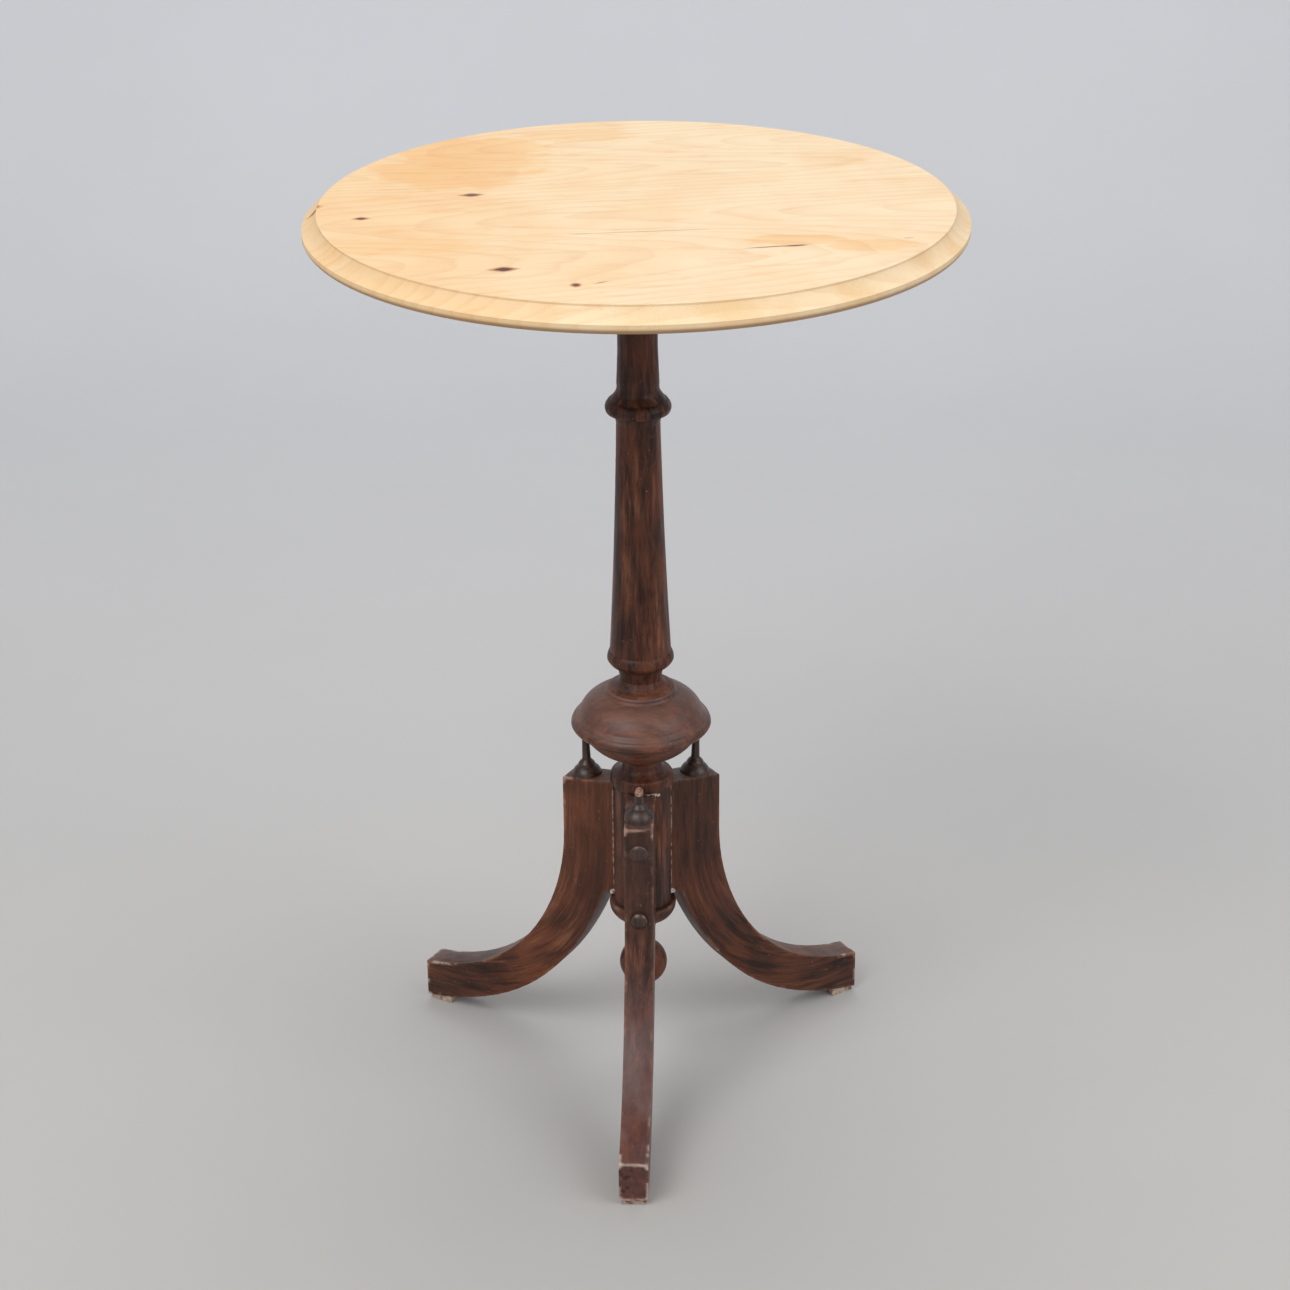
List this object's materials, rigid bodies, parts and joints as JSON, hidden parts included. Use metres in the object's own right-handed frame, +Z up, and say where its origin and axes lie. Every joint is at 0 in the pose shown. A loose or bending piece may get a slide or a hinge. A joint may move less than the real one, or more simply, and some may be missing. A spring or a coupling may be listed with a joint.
{
  "type": "tilt top table",
  "caption": "Occasional table with a round board top that tilts upright on a hinge block, a turned column with a round bulb, and a tripod of swept flat legs with small leg spindles.",
  "frame": {"origin": "on the floor under the column axis, which is the middle of the bounding box's base", "axes": "+Z up, -Y towards the front leg, +X to the right of a viewer who faces the front leg; the hinge axis runs along X"},
  "size_m": [0.49, 0.49, 0.74],
  "materials": {
    "board_wood": "pale bare softwood boards, sanded, very thin oil",
    "stained_wood": "worn mahogany-brown stain, satin with scuffed edges",
    "black_wood": "near-black brown stain, satin",
    "frame_wood": "dull brown stained hardwood under the top",
    "wedge_wood": "bare hardwood",
    "pad_wood": "chipped worn wood",
    "catch_brass": "aged brass",
    "pin_steel": "dull steel"
  },
  "bodies": {
    "pedestal": {"keeper_plate": "catch_brass", "keeper_screws": "catch_brass", "hinge_block": "frame_wood", "pivot_pin_left": "pin_steel", "pivot_pin_right": "pin_steel", "column_shaft": "stained_wood", "tenon_wedge": "wedge_wood", "bulb": "stained_wood", "leg_block": "stained_wood", "ball_finial": "stained_wood", "leg_front": "stained_wood", "leg_left": "stained_wood", "leg_right": "stained_wood", "leg_screws": "pin_steel", "upper_buttons": "black_wood", "lower_buttons": "black_wood", "spindle_front": "black_wood", "spindle_left": "black_wood", "spindle_right": "black_wood", "foot_pad_front": "pad_wood", "foot_pad_left": "pad_wood", "foot_pad_right": "pad_wood"},
    "top": {"board_front": "board_wood", "board_middle": "board_wood", "board_back": "board_wood", "board_rear": "board_wood", "cleat_left": "frame_wood", "cleat_right": "frame_wood", "cleat_screws": "pin_steel", "catch_case": "catch_brass", "catch_screws": "catch_brass"},
    "bolt": {"catch_bolt": "catch_brass", "catch_knob": "catch_brass"}
  },
  "joints": [
    {"name": "top_tilt", "type": "hinge", "parent": "pedestal", "child": "top", "pos_m": [0, -0.045, 0.709], "axis": [1, 0, 0], "range_deg": [0, 90]},
    {"name": "bolt_slide", "type": "slide", "parent": "top", "child": "bolt", "axis": [0, -1, 0], "range_m": [0, 0.01]}
  ]
}
